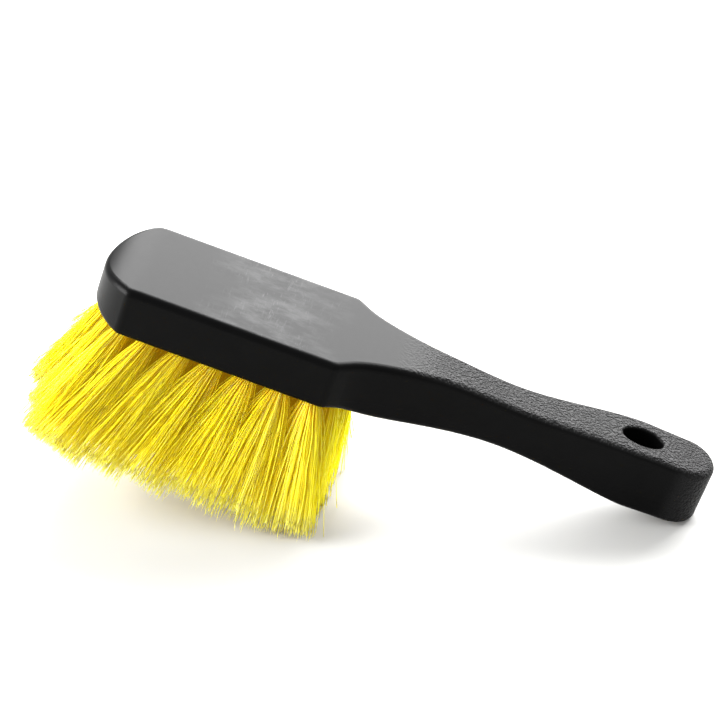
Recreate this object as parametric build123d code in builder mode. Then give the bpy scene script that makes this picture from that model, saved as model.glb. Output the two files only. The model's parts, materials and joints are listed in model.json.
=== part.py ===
from build123d import *

import os
from math import atan2, cos, degrees, radians, sin, tan

os.makedirs("parts", exist_ok=True)

# A short-handled wheel brush, lying as it rests on a table: on the bristle tips at the heel of its head
# and on the end of its handle. All lengths are in millimetres and all angles in degrees.
#
# The brush's own frame, before it is laid down: x runs from the nose to the handle and is 0 at the
# shoulders, where the head ends; y runs across; z is 0 on the flat top and negative below it.

# Head
WIDTH = 58.0
THICKNESS = 23.0
NOSE_CORNER_X = -91.0  # where each side meets the broad arc of the nose
NOSE_CORNER_RADIUS = 4.5
NOSE_TIP_X = -106.2
NOSE_DROP = 6.0  # how far the top curves down at the very tip
NOSE_DROP_X = -86.0
SHOULDER_RADIUS = 5.0

# Handle: half its width, and the heights of its top and its underside, at a few stations (x, value)
SHOULDER_CUT = (6.0, 24.3)
HALF_WIDTHS = [(20.0, 17.6), (40.0, 12.3), (72.0, 9.9), (105.0, 11.9), (132.0, 13.8)]
END_CENTRE_X = 151.2
END_RADIUS = 13.2
TOP_HEIGHTS = [(42.0, 0.0), (78.0, -1.8), (122.0, 0.6), (175.0, -0.6)]
UNDERSIDE_HEIGHTS = [
    (-3.0, -THICKNESS),
    (12.0, -25.4),
    (36.0, -26.3),
    (75.0, -23.4),
    (125.0, -27.2),
    (175.0, -27.6),
]

# Edges of the moulding
TOP_EDGE_RADIUS = 3.2
UNDERSIDE_EDGE_RADIUS = 2.8

# Hang hole: oval, longer along the handle
HANG_HOLE_X = 131.6
HANG_HOLE_RADII = (9.0, 6.0)
HANG_HOLE_LIP = 1.2

# Tuft holes: blind, in rows along the head, each drilled at its own angle so that the bristles fan out
HOLE_RADIUS = 3.1
HOLE_DEPTH = 13.0
ROW_PITCH = 11.25
TUFT_PITCH = 14.3
FIRST_TUFT_X = -4.9
OUTER_ROW_TUFTS = 6
INNER_ROW_TUFTS = 7
HEEL_TUFT_X = 7.0
NOSE_INFILL_X = -87.0
NOSE_RING_X = -98.0
NOSE_RING_STEP = (4.75, 9.75)
OUTER_SPLAY = 24.0
HEEL_LEAN = 4.0
HEEL_CORNER_LEAN = 10.0
NOSE_LEAN = -22.5
LEAN_POWER = 3  # most of the change in lean is near the heel

# Bristle tufts
TRIM_LENGTH = 54.0
FLARE_START = 3.0
FLARE_SHARE = 0.93  # of the way to the nearest neighbour's tips

# Anchors: flat wire, driven into the bottom of each hole across the folded bristles
ANCHOR_THICKNESS = 0.4
ANCHOR_LENGTH = 7.4
ANCHOR_HEIGHT = 2.4
ANCHOR_SEAT = 1.0

# How the brush lies: its tilt, and where its own origin is then
REST_TILT = 17.5
REST_X = -6.46
REST_HEIGHT = 75.08

half_width = WIDTH / 2

brush = Plane(
    origin=(REST_X, 0, REST_HEIGHT),
    x_dir=(cos(radians(REST_TILT)), 0, -sin(radians(REST_TILT))),
    z_dir=(sin(radians(REST_TILT)), 0, cos(radians(REST_TILT))),
)
side = Plane(origin=brush.origin, x_dir=brush.x_dir, z_dir=-brush.y_dir).offset(-half_width)
trim_plane = brush.offset(-THICKNESS - TRIM_LENGTH)
table = Plane.XY


def tuft_roots():
    """Where each tuft leaves the underside of the head, as (x, y), from heel to nose in each row."""
    outer_x = [FIRST_TUFT_X - TUFT_PITCH * i for i in range(OUTER_ROW_TUFTS)]
    inner_x = [FIRST_TUFT_X + TUFT_PITCH * (0.5 - i) for i in range(INNER_ROW_TUFTS)]
    roots = [(x, 0.0) for x in (HEEL_TUFT_X, *outer_x, NOSE_INFILL_X, NOSE_RING_X)]
    step_x, step_y = NOSE_RING_STEP
    for sign in (-1, 1):
        roots += [(x, sign * ROW_PITCH) for x in inner_x]
        roots += [(x, sign * 2 * ROW_PITCH) for x in outer_x]
        roots += [(NOSE_RING_X + step_x * i, sign * step_y * i) for i in (2, 1)]
    return roots


def tuft_plane(x, y):
    """The plane through a tuft's root and square to the tuft, with its normal pointing out of the hole."""
    outward = abs(y) / (2 * ROW_PITCH)
    row_heel_x = HEEL_TUFT_X + (FIRST_TUFT_X - HEEL_TUFT_X) * outward
    row_heel_lean = HEEL_LEAN + (HEEL_CORNER_LEAN - HEEL_LEAN) * outward
    from_nose = (x - NOSE_RING_X) / (row_heel_x - NOSE_RING_X)
    lean = NOSE_LEAN + (row_heel_lean - NOSE_LEAN) * from_nose**LEAN_POWER
    splay = OUTER_SPLAY * y / (2 * ROW_PITCH)
    root = brush.from_local_coords(Vector(x, y, -THICKNESS))
    below = Vector(x + tan(radians(lean)), y + tan(radians(splay)), -THICKNESS - 1)
    aim = brush.from_local_coords(below) - root
    return Plane(origin=root, x_dir=brush.y_dir.cross(aim), z_dir=aim)


def tuft_tip(plane):
    """Where a tuft's axis meets the plane that the bristles are trimmed to."""
    return plane.origin - plane.z_dir * (TRIM_LENGTH / plane.z_dir.dot(brush.z_dir))


def flare_angle(plane, tips):
    """How fast a tuft widens: its tips spread most of the way to half its nearest neighbour's distance."""
    own_tip = tuft_tip(plane)
    others = [tip for tip in tips if (tip - own_tip).length > HOLE_RADIUS]
    reach = min((tip - plane.origin).cross(plane.z_dir).length for tip in others) / 2
    flare_length = (own_tip - plane.origin).length - FLARE_START
    return degrees(atan2(FLARE_SHARE * reach - HOLE_RADIUS, flare_length))


def rim(faces):
    """The outer edges of a patch of faces: those that belong to one of them only."""
    edges = [edge for face in faces for edge in face.edges()]
    return [edge for edge in edges if sum(edge.is_same(other) for other in edges) == 1]


def facing(part, direction):
    """The faces of a part that look more or less along a direction."""
    return [face for face in part.faces() if face.normal_at().dot(direction) > 0.7]


def outer_corners(sketch, direction):
    """The corners of a plan at its full width, on the nose's side (-1) or the handle's side (1)."""
    middle_x = NOSE_CORNER_X / 2
    at_full_width = [corner for corner in sketch.vertices() if abs(abs(corner.Y) - half_width) < 0.01]
    return [corner for corner in at_full_width if (corner.X - middle_x) * direction > 0]


tuft_planes = [tuft_plane(x, y) for x, y in tuft_roots()]
tuft_tips = [tuft_tip(plane) for plane in tuft_planes]
anchor_offset = ANCHOR_SEAT - HOLE_DEPTH

# Block and handle: one moulding of black structural foam
far_side = [SHOULDER_CUT, *HALF_WIDTHS, (END_CENTRE_X, END_RADIUS)]
near_side = [(x, -y) for x, y in far_side]
cut_x, cut_y = SHOULDER_CUT[0], SHOULDER_CUT[1] - half_width

with BuildPart() as block_and_handle:
    with BuildSketch(brush.offset(-2 * THICKNESS)) as plan:
        with BuildLine():
            ThreePointArc((NOSE_CORNER_X, half_width), (NOSE_TIP_X, 0), (NOSE_CORNER_X, -half_width))
            Polyline((NOSE_CORNER_X, half_width), (0, half_width), far_side[0])
            Polyline((NOSE_CORNER_X, -half_width), (0, -half_width), near_side[0])
            Spline(*far_side, tangents=((cut_x, cut_y), (1, 0)))
            Spline(*near_side, tangents=((cut_x, -cut_y), (1, 0)))
            CenterArc((END_CENTRE_X, 0), END_RADIUS, -90, 180)
        make_face()
        fillet(outer_corners(plan, -1), NOSE_CORNER_RADIUS)
        fillet(outer_corners(plan, 1), SHOULDER_RADIUS)
    extrude(amount=3 * THICKNESS)
    with BuildSketch(side):
        with BuildLine():
            TangentArc((NOSE_DROP_X, 0), (NOSE_TIP_X, -NOSE_DROP), tangent=(-1, 0))
            Line((NOSE_DROP_X, 0), TOP_HEIGHTS[0])
            Spline(*TOP_HEIGHTS, tangents=((1, 0), (1, 0)))
            Line(TOP_HEIGHTS[-1], UNDERSIDE_HEIGHTS[-1])
            Spline(*UNDERSIDE_HEIGHTS, tangents=((1, 0), (1, 0)))
            Polyline(UNDERSIDE_HEIGHTS[0], (NOSE_TIP_X, -THICKNESS), (NOSE_TIP_X, -NOSE_DROP))
        make_face()
    extrude(amount=WIDTH, mode=Mode.INTERSECT)
    fillet(rim(facing(block_and_handle, brush.z_dir)), TOP_EDGE_RADIUS)
    fillet(rim(facing(block_and_handle, -brush.z_dir)), UNDERSIDE_EDGE_RADIUS)

    with BuildSketch(brush.offset(-2 * THICKNESS)):
        with Locations((HANG_HOLE_X, 0)):
            Ellipse(*HANG_HOLE_RADII)
    extrude(amount=3 * THICKNESS, mode=Mode.SUBTRACT)
    fillet(block_and_handle.edges(Select.LAST).filter_by(GeomType.LINE, reverse=True), HANG_HOLE_LIP)

    for plane in tuft_planes:
        with BuildSketch(plane.offset(-HOLE_DEPTH)):
            Circle(HOLE_RADIUS)
        extrude(amount=HOLE_DEPTH + FLARE_START, mode=Mode.SUBTRACT)
        with BuildSketch(plane.offset(anchor_offset)):
            Rectangle(ANCHOR_THICKNESS, ANCHOR_LENGTH)
        extrude(amount=ANCHOR_HEIGHT, mode=Mode.SUBTRACT)

block_and_handle.part.label = "block_and_handle"
export_step(block_and_handle.part, "parts/block_and_handle.step")

# Bristle tufts: each fills its hole, folded over its anchor, and flares from its root to its tips; the
# tips are trimmed level with the head, and those at the heel are pressed flat where they meet the table
for number, plane in enumerate(tuft_planes, start=1):
    with BuildPart() as tuft:
        with BuildSketch(plane.offset(-HOLE_DEPTH)):
            Circle(HOLE_RADIUS)
        extrude(amount=HOLE_DEPTH + FLARE_START)
        with BuildSketch(plane.offset(FLARE_START)):
            Circle(HOLE_RADIUS)
        extrude(amount=1.5 * TRIM_LENGTH, taper=-flare_angle(plane, tuft_tips))
        split(bisect_by=trim_plane, keep=Keep.TOP)
        split(bisect_by=table, keep=Keep.TOP)
        with BuildSketch(plane.offset(anchor_offset)):
            Rectangle(ANCHOR_THICKNESS, ANCHOR_LENGTH)
        extrude(amount=ANCHOR_HEIGHT, mode=Mode.SUBTRACT)
    tuft.part.label = f"tuft_{number:02d}"
    export_step(tuft.part, f"parts/tuft_{number:02d}.step")

# Anchors: one group of separate flat wires, alike but for where they sit
with BuildPart() as tuft_anchors:
    for plane in tuft_planes:
        with BuildSketch(plane.offset(anchor_offset)):
            Rectangle(ANCHOR_THICKNESS, ANCHOR_LENGTH)
        extrude(amount=ANCHOR_HEIGHT)

tuft_anchors.part.label = "tuft_anchors"
export_step(tuft_anchors.part, "parts/tuft_anchors.step")
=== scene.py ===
import json
import math

import bpy
import numpy as np
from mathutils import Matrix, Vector


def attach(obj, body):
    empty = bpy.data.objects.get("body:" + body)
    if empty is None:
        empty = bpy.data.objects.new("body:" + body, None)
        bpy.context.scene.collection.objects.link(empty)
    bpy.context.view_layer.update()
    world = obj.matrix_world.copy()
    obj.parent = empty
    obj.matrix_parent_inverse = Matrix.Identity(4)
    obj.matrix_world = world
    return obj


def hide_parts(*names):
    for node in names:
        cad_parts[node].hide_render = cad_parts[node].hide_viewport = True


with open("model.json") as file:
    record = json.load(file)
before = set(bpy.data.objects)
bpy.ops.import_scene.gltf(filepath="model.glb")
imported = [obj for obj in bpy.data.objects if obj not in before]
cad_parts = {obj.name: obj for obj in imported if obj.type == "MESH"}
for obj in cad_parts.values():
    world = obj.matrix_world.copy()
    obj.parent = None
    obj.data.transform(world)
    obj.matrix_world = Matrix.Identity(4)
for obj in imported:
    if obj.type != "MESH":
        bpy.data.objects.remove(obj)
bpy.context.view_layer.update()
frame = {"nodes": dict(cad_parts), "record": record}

# A wheel brush lying on a pale table. Everything is in metres, in the frame of the CAD model.
#
# The brush's own frame: x runs from the nose to the handle and is 0 at the shoulders, where the head ends;
# y runs across; z is 0 on the flat top of the head and negative below it.

MM = 0.001
SEED = 11

# Places in the brush's own frame
HEAD_TOP_STATION = -45 * MM  # x of the record's head_top mount
SMEAR_MIDDLE = -32 * MM  # x where the head's top is most scuffed
NECK_STIPPLE = (18 * MM, 62 * MM)  # x over which the handle's stipple sets in
END_STIPPLE = (146 * MM, 158 * MM)  # x over which it spreads round the handle's end
PARTING_DEPTH = 18.6 * MM  # of the mould's parting line, below the flat top
TRIM_DEPTH = 77 * MM  # of the bristle tips, below the flat top
HEEL_ZONE = (-20 * MM, 2 * MM)  # x over which tufts come to count as the heel's
NOSE_ZONE = (-80 * MM, -95 * MM)  # x over which tufts come to count as the nose's
OUTER_ROW = 22.5 * MM  # y of the outer rows of tufts

# Tuft holes
HOLE_DEPTH = 13 * MM

# Filaments
FILAMENTS = 300  # in each tuft
RINGS = 9  # cross-sections along each
ROOT_RADIUS = 0.20 * MM
TIP_RADIUS = 0.12 * MM
BUNDLE_RADIUS = 2.8 * MM  # of a tuft where it leaves its hole
HIDDEN_START = 5 * MM  # how deep in the hole each filament starts
SPREAD = 2.45  # how far the tips spread, as a share of the CAD tuft's flare
SPREAD_POWER = 0.66  # under 1, so that tufts fill out soon below the block
OUTER_SPREAD = 0.2  # what is left of it towards the outside, for tufts at the head's edge
BOW = 1.15 * MM  # how far the tips are bent sideways
STRAY_SHARE = 0.035  # of the filaments are bent more
STRAY_BEND = 4.5  # times as much
CRIMP = 0.35 * MM
CRIMP_LENGTH = 24 * MM
RAGGED = 2.2 * MM  # how much the tips' lengths differ
SPLIT_ENDS = 1  # on each filament
SPLIT_LENGTH = 5.5 * MM
SPLIT_SPREAD = 0.16

# What share of the bake layer's height filaments and split ends take up
FILAMENT_BAND = (0.01, 0.87)
SPLIT_BAND = (0.90, 0.99)

# Camera
CAMERA_AZIMUTH = 10.0
CAMERA_ELEVATION = 31.7
CAMERA_DISTANCE = 1.162
CAMERA_LENS = 138.4
AIM_FROM_SHOULDERS = Vector((5.5, -5.5, -10.3)) * MM

# Floor and light
FLOOR_RADIUS = 6.0
FLOOR_CORNERS = 96
SURROUND_STRENGTH = 0.72


# ---------------------------------------------------------------- the brush's own frame

def brush_frame():
    """The brush's origin and its three directions, from the record's two mounts."""
    mounts = {mount["name"]: mount for mount in frame["record"]["mounts"]}
    up = Vector(mounts["hang_hole"]["axis"]).normalized()
    head_top = Vector(mounts["head_top"]["pos_m"])
    towards_hole = Vector(mounts["hang_hole"]["pos_m"]) - head_top
    along = (towards_hole - up * towards_hole.dot(up)).normalized()
    return head_top - along * HEAD_TOP_STATION, along, up.cross(along), up


origin, along_brush, across_brush, up_brush = brush_frame()
tilt = math.atan2(up_brush.x, up_brush.z)


# ---------------------------------------------------------------- node helpers

class Nodes:
    """A material's node tree, with short calls for the nodes that the materials here use."""

    def __init__(self, name):
        self.material = bpy.data.materials.new(name)
        self.material.use_nodes = True
        self.tree = self.material.node_tree
        self.tree.nodes.clear()
        output = self.add("ShaderNodeOutputMaterial")
        self.shader = self.add("ShaderNodeBsdfPrincipled")
        self.link(self.shader.outputs["BSDF"], output.inputs["Surface"])

    def add(self, kind, **settings):
        node = self.tree.nodes.new(kind)
        for key, value in settings.items():
            setattr(node, key, value)
        return node

    def link(self, source, target):
        self.tree.links.new(source, target)

    def feed(self, socket, value):
        """Sets a socket to a number or a colour, or links it to another node's output."""
        if isinstance(value, bpy.types.NodeSocket):
            self.link(value, socket)
        else:
            socket.default_value = value

    def math(self, operation, first, second=0.0, third=0.0):
        node = self.add("ShaderNodeMath", operation=operation)
        for socket, value in zip(node.inputs, (first, second, third)):
            self.feed(socket, value)
        return node.outputs[0]

    def smooth(self, value, low, high, start=0.0, end=1.0):
        """A smooth step of value, from start at low to end at high."""
        node = self.add("ShaderNodeMapRange", interpolation_type="SMOOTHSTEP")
        for name, number in (("From Min", low), ("From Max", high), ("To Min", start), ("To Max", end)):
            node.inputs[name].default_value = number
        self.feed(node.inputs["Value"], value)
        return node.outputs["Result"]

    def mix(self, share, first, second):
        node = self.add("ShaderNodeMix", data_type="RGBA")
        self.feed(node.inputs["Factor"], share)
        self.feed(node.inputs["A"], first)
        self.feed(node.inputs["B"], second)
        return node.outputs["Result"]

    def noise(self, place, scale, detail=2.0, roughness=0.5):
        node = self.add("ShaderNodeTexNoise")
        self.feed(node.inputs["Vector"], place)
        node.inputs["Scale"].default_value = scale
        node.inputs["Detail"].default_value = detail
        node.inputs["Roughness"].default_value = roughness
        return node.outputs["Fac"]

    def cells(self, place, scale):
        node = self.add("ShaderNodeTexVoronoi", feature="SMOOTH_F1")
        self.feed(node.inputs["Vector"], place)
        node.inputs["Scale"].default_value = scale
        return node.outputs["Distance"]

    def bump(self, height, distance, strength=1.0, below=None):
        node = self.add("ShaderNodeBump")
        node.inputs["Distance"].default_value = distance
        node.inputs["Strength"].default_value = strength
        self.feed(node.inputs["Height"], height)
        if below is not None:
            self.link(below, node.inputs["Normal"])
        return node.outputs["Normal"]

    def brush_place(self):
        """The point being shaded, in the brush's own frame."""
        coordinates = self.add("ShaderNodeTexCoord")
        shift = self.add("ShaderNodeVectorMath", operation="SUBTRACT")
        self.link(coordinates.outputs["Object"], shift.inputs[0])
        shift.inputs[1].default_value = origin
        turn = self.add("ShaderNodeVectorRotate", rotation_type="Y_AXIS")
        turn.inputs["Angle"].default_value = -tilt
        self.link(shift.outputs[0], turn.inputs["Vector"])
        return turn.outputs[0]

    def split(self, vector):
        node = self.add("ShaderNodeSeparateXYZ")
        self.link(vector, node.inputs[0])
        return node.outputs

    def stretch(self, place, scale, turn=0.0):
        """Coordinates turned about z and then scaled, for scratches and other drawn-out marks."""
        node = self.add("ShaderNodeMapping", vector_type="POINT")
        self.link(place, node.inputs["Vector"])
        node.inputs["Rotation"].default_value = (0, 0, turn)
        node.inputs["Scale"].default_value = scale
        return node.outputs[0]


def black_plastic():
    """Moulded black foam plastic: scuffed on the head's top, stippled on the handle's top and end."""
    nodes = Nodes("black_foam_plastic")
    place = nodes.brush_place()
    x, y, z = nodes.split(place)
    normal = nodes.add("ShaderNodeNewGeometry").outputs["Normal"]
    lift = nodes.add("ShaderNodeVectorMath", operation="DOT_PRODUCT")
    nodes.link(normal, lift.inputs[0])
    lift.inputs[1].default_value = up_brush
    facing_up = nodes.smooth(lift.outputs["Value"], 0.35, 0.9)
    on_flat = nodes.smooth(lift.outputs["Value"], 0.93, 0.99)

    # Where the stipple is: on top from the neck on, and round the handle's end
    on_handle = nodes.smooth(x, *NECK_STIPPLE)
    round_end = nodes.smooth(x, *END_STIPPLE)
    stippled = nodes.math("MAXIMUM", nodes.math("MULTIPLY", on_handle, facing_up), round_end)

    # Where the head's top is smeared and scuffed
    smear = nodes.smooth(nodes.noise(nodes.stretch(place, (1, 2.2, 1), -0.5), 45, 8.0, 0.70), 0.40, 0.66)
    from_middle = nodes.math("ABSOLUTE", nodes.math("SUBTRACT", x, SMEAR_MIDDLE))
    patchy = nodes.math("MULTIPLY_ADD", nodes.noise(place, 45, 2.0), 40 * MM, from_middle)
    middle = nodes.smooth(patchy, 55 * MM, 25 * MM)
    smeared = nodes.math("MULTIPLY", nodes.math("MULTIPLY", smear, middle), on_flat)
    scratch_a = nodes.noise(nodes.stretch(place, (620, 80, 60), 0.55), 1.0, 5.0, 0.6)
    scratch_b = nodes.noise(nodes.stretch(place, (900, 150, 60), 0.95), 1.0, 5.0, 0.6)
    scratch_a = nodes.smooth(scratch_a, 0.55, 0.70)
    scratch_b = nodes.smooth(scratch_b, 0.56, 0.72)
    scratches = nodes.math("ADD", scratch_a, scratch_b)
    here = nodes.math("MULTIPLY", middle, nodes.smooth(nodes.noise(place, 70, 3.0), 0.40, 0.60))
    scratched = nodes.math("MULTIPLY", scratches, nodes.math("MULTIPLY", on_flat, here))

    mottle = nodes.noise(place, 120, 3.0)
    colour = nodes.mix(mottle, (0.0010, 0.0010, 0.0010, 1), (0.0022, 0.0022, 0.0023, 1))
    colour = nodes.mix(nodes.math("MULTIPLY", smeared, 0.8), colour, (0.040, 0.0402, 0.0405, 1))
    colour = nodes.mix(nodes.math("MULTIPLY", scratched, 0.5), colour, (0.075, 0.075, 0.076, 1))
    colour = nodes.mix(nodes.math("MULTIPLY", stippled, 0.8), colour, (0.014, 0.014, 0.0143, 1))
    nodes.link(colour, nodes.shader.inputs["Base Color"])

    fine = nodes.noise(place, 420, 4.0, 0.6)
    rough = nodes.math("MULTIPLY_ADD", fine, 0.10, 0.33)
    rough = nodes.math("MULTIPLY_ADD", smeared, -0.05, rough)
    rough = nodes.math("MULTIPLY_ADD", stippled, 0.03, rough)
    nodes.link(rough, nodes.shader.inputs["Roughness"])
    nodes.shader.inputs["Specular IOR Level"].default_value = 0.055

    grain = nodes.smooth(nodes.noise(place, 800, 2.0), 0.35, 0.65)
    grain = nodes.math("ADD", grain, nodes.cells(place, 1000))
    grain = nodes.math("MULTIPLY", grain, stippled)
    skin = nodes.math("MULTIPLY_ADD", nodes.noise(place, 260, 3.0), 0.10, nodes.noise(place, 2200, 2.0))
    from_parting = nodes.math("ABSOLUTE", nodes.math("ADD", z, PARTING_DEPTH))
    parting = nodes.smooth(from_parting, 0.35 * MM, 0.0)
    relief = nodes.bump(grain, 0.5 * MM, 1.0)
    relief = nodes.bump(skin, 0.012 * MM, 0.6, relief)
    relief = nodes.bump(nodes.math("MULTIPLY", scratched, -1.0), 0.02 * MM, 0.7, relief)
    relief = nodes.bump(parting, 0.05 * MM, 0.5, relief)
    nodes.link(relief, nodes.shader.inputs["Normal"])
    return nodes.material


def bristle():
    """Yellow plastic monofilament: lemon yellow along it and paler at the worn tip, with painted shade as
    a darker amber towards the root, where the tufts stand close in the block's shade.
    """
    nodes = Nodes("yellow_bristle")
    along = nodes.add("ShaderNodeAttribute", attribute_name="along").outputs["Fac"]
    strand = nodes.add("ShaderNodeAttribute", attribute_name="strand").outputs["Fac"]
    # Painted shade: the filaments turn a darker amber towards the root, where they stand close together
    # under the block
    colour = nodes.mix(nodes.smooth(along, 0.10, 0.40), (0.96, 0.62, 0.007, 1), (0.96, 0.80, 0.012, 1))
    colour = nodes.mix(nodes.smooth(along, 0.80, 1.0, 0.0, 0.6), colour, (0.98, 0.92, 0.10, 1))
    colour = nodes.mix(nodes.smooth(strand, 0.0, 0.35, 0.45, 0.0), colour, (0.97, 0.66, 0.008, 1))
    colour = nodes.mix(nodes.smooth(strand, 0.72, 1.0, 0.0, 0.65), colour, (0.98, 0.91, 0.08, 1))
    nodes.link(colour, nodes.shader.inputs["Base Color"])
    nodes.link(nodes.math("MULTIPLY_ADD", strand, 0.15, 0.32), nodes.shader.inputs["Roughness"])
    nodes.shader.inputs["Specular IOR Level"].default_value = 0.18
    nodes.shader.inputs["Subsurface Weight"].default_value = 0.95
    nodes.shader.inputs["Subsurface Radius"].default_value = (1.0, 0.85, 0.12)
    nodes.shader.inputs["Subsurface Scale"].default_value = 2.0 * MM

    # A faint glow stands in for the light that the filaments carry along inside
    nodes.shader.inputs["Emission Color"].default_value = (1.0, 0.74, 0.02, 1)
    nodes.shader.inputs["Emission Strength"].default_value = 0.04
    return nodes.material


def steel():
    """Flat drawn steel wire."""
    nodes = Nodes("anchor_wire")
    place = nodes.add("ShaderNodeTexCoord").outputs["Object"]
    drawn = nodes.noise(nodes.stretch(place, (4000, 300, 300)), 1.0, 2.0)
    colour = nodes.mix(drawn, (0.55, 0.56, 0.57, 1), (0.68, 0.69, 0.70, 1))
    nodes.link(colour, nodes.shader.inputs["Base Color"])
    nodes.link(nodes.math("MULTIPLY_ADD", drawn, 0.2, 0.25), nodes.shader.inputs["Roughness"])
    nodes.shader.inputs["Metallic"].default_value = 1.0
    return nodes.material


def pale_floor():
    """Plain pale card."""
    nodes = Nodes("pale_floor")
    place = nodes.add("ShaderNodeTexCoord").outputs["Object"]
    fibre = nodes.noise(place, 30, 4.0)
    colour = nodes.mix(fibre, (0.47, 0.47, 0.46, 1), (0.49, 0.49, 0.48, 1))
    nodes.link(colour, nodes.shader.inputs["Base Color"])
    nodes.shader.inputs["Roughness"].default_value = 0.8
    nodes.shader.inputs["Specular IOR Level"].default_value = 0.2
    return nodes.material


# ---------------------------------------------------------------- bristle tufts

class Tuft:
    """A CAD tuft: where its axis starts at the bottom of its hole, its direction, its flare and length."""

    def __init__(self, node):
        mesh = frame["nodes"][node].data
        points = np.array([vertex.co for vertex in mesh.vertices])
        up = np.array(up_brush)
        seat = max(mesh.polygons, key=lambda face: face.center.dot(up_brush))
        self.axis = -np.array(seat.normal)
        across = np.cross(self.axis, up)
        self.side_a = across / np.linalg.norm(across)
        self.side_b = np.cross(self.axis, self.side_a)
        on_seat = points[np.abs((points - np.array(seat.center)) @ self.axis) < 0.01 * MM]
        self.seat = self.axis * (on_seat @ self.axis).mean()
        for side in (self.side_a, self.side_b):
            on_side = on_seat @ side
            self.seat += side * (on_side.min() + on_side.max()) / 2
        from_seat = points - self.seat
        depth = from_seat @ self.axis
        radius = np.linalg.norm(from_seat - depth[:, None] * self.axis, axis=1)
        widest = radius.argmax()
        self.flare = (radius[widest] - radius[depth < HOLE_DEPTH].max()) / (depth[widest] - HOLE_DEPTH)
        height = (self.seat - np.array(origin)) @ up
        self.length = (TRIM_DEPTH + height) / -(self.axis @ up)

    def edges(self):
        """The directions out of the brush from here, each with how near the head's edge is, 0 to 1."""
        root = self.seat + self.axis * HOLE_DEPTH - np.array(origin)
        x, y = root @ np.array(along_brush), root @ np.array(across_brush)
        heel = np.clip((x - HEEL_ZONE[0]) / (HEEL_ZONE[1] - HEEL_ZONE[0]), 0, 1)
        nose = np.clip((x - NOSE_ZONE[0]) / (NOSE_ZONE[1] - NOSE_ZONE[0]), 0, 1)
        side = min(abs(y) / OUTER_ROW, 1)**2
        outwards = np.sign(y) * np.array(across_brush)
        return [(heel, np.array(along_brush)), (nose, -np.array(along_brush)), (side, outwards)]


def filament_paths(tuft, random):
    """The centre line of each filament of a tuft, as an array of filaments by rings by xyz."""
    count = FILAMENTS
    order = np.arange(count)
    angle = order * math.pi * (3 - math.sqrt(5)) + random.normal(0, 0.25, count)
    share = np.sqrt((order + 0.5) / count)
    outward = np.cos(angle)[:, None] * tuft.side_a + np.sin(angle)[:, None] * tuft.side_b
    free = tuft.length - HOLE_DEPTH
    lengths = free - np.abs(random.normal(0, RAGGED, count)) + random.normal(0.4 * MM, 0.6 * MM, count)

    # Where each filament's tip is carried to, less what would go past the head's edge
    reach = share * SPREAD * tuft.flare * free * random.normal(1.0, 0.22, count)
    spread = reach[:, None] * outward
    for nearness, direction in tuft.edges():
        past = np.clip(spread @ direction, 0, None) * nearness * (1 - OUTER_SPREAD)
        spread -= past[:, None] * direction

    bow_angle = random.uniform(0, 2 * math.pi, count)
    bow = np.cos(bow_angle)[:, None] * tuft.side_a + np.sin(bow_angle)[:, None] * tuft.side_b
    stray = np.where(random.uniform(0, 1, count) < STRAY_SHARE, STRAY_BEND, 1.0)
    sideways = (random.normal(0, BOW, count) * stray)[:, None] * bow
    phase = random.uniform(0, 2 * math.pi, (count, 1))
    crimp = CRIMP * np.roll(bow, 1, axis=0)
    in_bundle = (share * BUNDLE_RADIUS)[:, None] * outward

    def trace(lengths):
        depth = HOLE_DEPTH - HIDDEN_START + np.linspace(0, 1, RINGS) * (lengths[:, None] + HIDDEN_START)
        out = np.clip((depth - HOLE_DEPTH) / free, 0, 1.1)[..., None]
        wave = np.sin(2 * math.pi * depth / CRIMP_LENGTH + phase)[..., None] * np.minimum(out * 4, 1)
        paths = tuft.seat + depth[..., None] * tuft.axis + in_bundle[:, None, :]
        paths += out**SPREAD_POWER * spread[:, None, :] + out**2 * sideways[:, None, :]
        return paths + wave * crimp[:, None, :]

    # Filaments that would go through the table end where they meet it
    paths = trace(lengths)
    start, end = paths[:, 0, 2], paths[:, -1, 2]
    above = np.clip((start - TIP_RADIUS) / (start - end), 0, 1)
    paths = trace((lengths + HIDDEN_START) * above - HIDDEN_START)
    paths[..., 2] = np.maximum(paths[..., 2], TIP_RADIUS)
    return paths


def unit(vectors):
    """The same vectors, each one long."""
    return vectors / np.linalg.norm(vectors, axis=-1, keepdims=True)


def tubes(paths, radii, strand, along, band):
    """Three-sided tubes along many paths at once, closed at both ends: points, faces, values and strips.

    The values are those of strand and along at each point, and the strips are the faces' corners in the
    bake layer.
    """
    count, rings, _ = paths.shape
    tangent = unit(np.gradient(paths, axis=1))
    side = unit(np.cross(tangent, np.array((0.31, 0.86, 0.40))))
    other = np.cross(tangent, side)
    corners = []
    for corner in range(3):
        angle = 2 * math.pi * corner / 3
        offset = math.cos(angle) * side + math.sin(angle) * other
        corners.append(paths + radii[..., None] * offset)
    points = np.stack(corners, axis=2).reshape(-1, 3)
    grid = np.arange(count * rings * 3).reshape(count, rings, 3)
    after = np.roll(grid, -1, axis=2)
    walls = np.stack((grid[:, :-1], after[:, :-1], after[:, 1:], grid[:, 1:]), axis=-1).reshape(-1, 4)
    faces = walls.tolist() + grid[:, 0, ::-1].tolist() + grid[:, -1].tolist()
    values = [np.repeat(value.reshape(count * rings), 3) for value in (strand, along)]
    return points, faces, values, bake_strips(count, rings, band)


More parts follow.
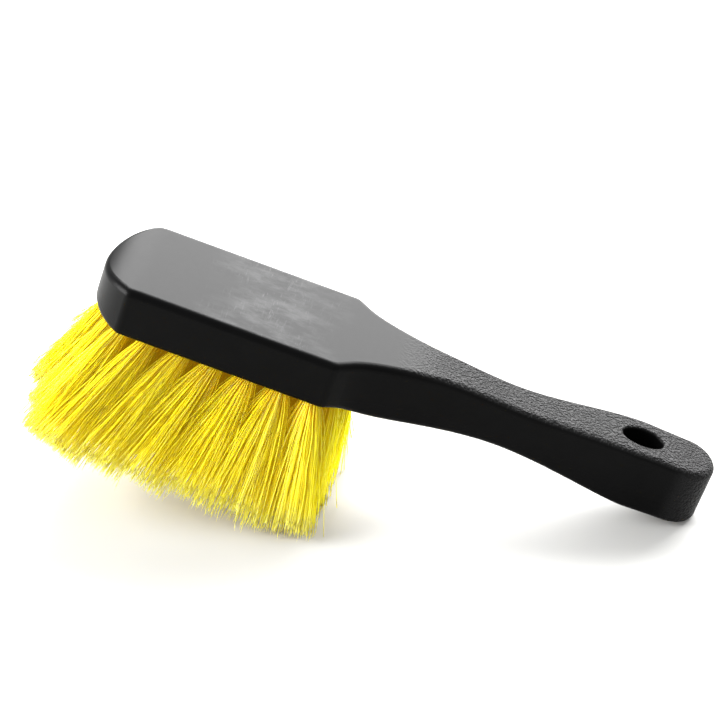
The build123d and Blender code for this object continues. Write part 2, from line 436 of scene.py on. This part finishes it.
def bake_strips(count, rings, band):
    """The corners of the faces of tubes in the bake layer: a tube's walls share one upright strip."""
    left = (np.arange(count) + 0.2) / count
    right = (np.arange(count) + 0.8) / count
    level = np.linspace(*band, rings)
    walls = np.empty((count, rings - 1, 3, 4, 2))
    walls[..., (0, 3), 0] = left[:, None, None, None]
    walls[..., (1, 2), 0] = right[:, None, None, None]
    walls[..., (0, 1), 1] = level[:-1, None, None]
    walls[..., (2, 3), 1] = level[1:, None, None]
    caps = []
    for end, inwards in zip(band, (1, -1)):
        cap = np.empty((count, 3, 2))
        cap[..., 0] = np.stack((left, right, (left + right) / 2), axis=1)
        cap[..., 1] = end + inwards * np.array((0, 0, 0.1)) * (level[1] - level[0])
        caps.append(cap.reshape(-1, 2))
    return np.concatenate((walls.reshape(-1, 2), *caps))


def filament_tubes(paths, strand):
    """The filaments themselves, a little finer towards the tip."""
    steps = np.linspace(0, 1, RINGS)
    radii = ROOT_RADIUS + (TIP_RADIUS - ROOT_RADIUS) * steps**4
    radii, along = (np.tile(values, (len(paths), 1)) for values in (radii, steps))
    return tubes(paths, radii, np.tile(strand, (1, RINGS)), along, FILAMENT_BAND)


def split_end_tubes(paths, strand, random):
    """Split ends, one to a filament: short finer tubes that branch off near the tip."""
    count = len(paths)
    direction = unit(paths[:, -1] - paths[:, -2])
    lean = unit(direction + random.normal(0, SPLIT_SPREAD, (count, 3)))
    length = random.uniform(0.5, 1.0, (count, 1)) * SPLIT_LENGTH
    start = paths[:, -1] - direction * length * 0.7
    end = paths[:, -1] + lean * length * 0.35
    split = np.stack((start, end), axis=1)
    split[..., 2] = np.maximum(split[..., 2], TIP_RADIUS)
    radii = np.tile((0.9 * TIP_RADIUS, 0.35 * TIP_RADIUS), (count, 1))
    along = np.tile((0.92, 1.0), (count, 1))
    return tubes(split, radii, np.tile(strand, (1, 2)), along, SPLIT_BAND)


def add_tuft(node, material, random):
    """A tuft of loose filaments in place of its plain CAD solid."""
    paths = filament_paths(Tuft(node), random)
    strand = random.uniform(0, 1, (len(paths), 1))
    parts = [filament_tubes(paths, strand)]
    parts += [split_end_tubes(paths, strand, random) for _ in range(SPLIT_ENDS)]

    points, faces, start = [], [], 0
    for part_points, part_faces, _, _ in parts:
        points.append(part_points)
        faces += [[start + index for index in face] for face in part_faces]
        start += len(part_points)
    mesh = bpy.data.meshes.new("bristles_" + node)
    mesh.from_pydata(np.concatenate(points).tolist(), [], faces)
    for index, name in enumerate(("strand", "along")):
        values = np.concatenate([part[2][index] for part in parts]).astype(np.float32)
        mesh.attributes.new(name, "FLOAT", "POINT").data.foreach_set("value", values)
    strips = np.concatenate([part[3] for part in parts]).astype(np.float32)
    mesh.uv_layers.new(name="OFBake").data.foreach_set("uv", strips.ravel())
    mesh.materials.append(material)
    mesh.shade_smooth()
    piece = bpy.data.objects.new("bristles_" + node, mesh)
    bpy.context.scene.collection.objects.link(piece)
    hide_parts(node)
    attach(piece, "root")


# ---------------------------------------------------------------- stage

def add_floor():
    """A large pale disc at the height that the brush rests at."""
    mesh = bpy.data.meshes.new("floor")
    turns = [2 * math.pi * i / FLOOR_CORNERS for i in range(FLOOR_CORNERS)]
    rim = [(FLOOR_RADIUS * math.cos(turn), FLOOR_RADIUS * math.sin(turn), 0) for turn in turns]
    mesh.from_pydata(rim, [], [list(range(FLOOR_CORNERS))])
    mesh.materials.append(pale_floor())
    floor = bpy.data.objects.new("floor", mesh)
    bpy.context.scene.collection.objects.link(floor)


def add_softbox(name, towards, distance, size, radiance):
    """A rectangular area light that faces the brush. Radiance 1 looks as bright as white paper."""
    light = bpy.data.lights.new(name, "AREA")
    light.shape = "RECTANGLE"
    light.size, light.size_y = size
    light.energy = radiance * size[0] * size[1] * math.pi
    softbox = bpy.data.objects.new(name, light)
    direction = Vector(towards).normalized()
    softbox.location = direction * distance
    softbox.rotation_euler = direction.to_track_quat("Z", "Y").to_euler()
    softbox.visible_camera = False
    bpy.context.scene.collection.objects.link(softbox)


def add_world():
    """An even pale surround."""
    world = bpy.data.worlds.new("surround")
    world.use_nodes = True
    background = world.node_tree.nodes["Background"]
    background.inputs["Color"].default_value = (1.0, 1.0, 1.0, 1)
    background.inputs["Strength"].default_value = SURROUND_STRENGTH
    bpy.context.scene.world = world


def add_camera():
    """A long lens that looks down on the brush's near side, from a little towards its handle."""
    data = bpy.data.cameras.new("camera")
    data.lens = CAMERA_LENS
    data.sensor_width = 36
    camera = bpy.data.objects.new("camera", data)
    azimuth, elevation = math.radians(CAMERA_AZIMUTH), math.radians(CAMERA_ELEVATION)
    back = Vector((
        math.sin(azimuth) * math.cos(elevation),
        -math.cos(azimuth) * math.cos(elevation),
        math.sin(elevation),
    ))
    camera.location = origin + AIM_FROM_SHOULDERS + back * CAMERA_DISTANCE
    camera.rotation_euler = back.to_track_quat("Z", "Y").to_euler()
    bpy.context.scene.collection.objects.link(camera)
    bpy.context.scene.camera = camera


def paint(node, material):
    """Gives a CAD node its finished material."""
    piece = frame["nodes"][node]
    piece.data.materials.clear()
    piece.data.materials.append(material)


add_camera()
add_world()
add_floor()
add_softbox("back_softbox", towards=(0.18, 0.84, 0.56), distance=1.5, size=(1.8, 1.3), radiance=18.0)
add_softbox("left_softbox", towards=(-0.92, -0.22, 0.42), distance=1.3, size=(0.8, 0.8), radiance=25.0)
bpy.context.scene.view_settings.view_transform = "Standard"
bpy.context.scene.cycles.diffuse_bounces = 8

paint("block_and_handle", black_plastic())
paint("tuft_anchors", steel())

bristle_material = bristle()
tuft_nodes = sorted(set(frame["nodes"]) - {"block_and_handle", "tuft_anchors"})
for tuft_number, tuft_node in enumerate(tuft_nodes):
    add_tuft(tuft_node, bristle_material, np.random.default_rng(SEED + tuft_number))
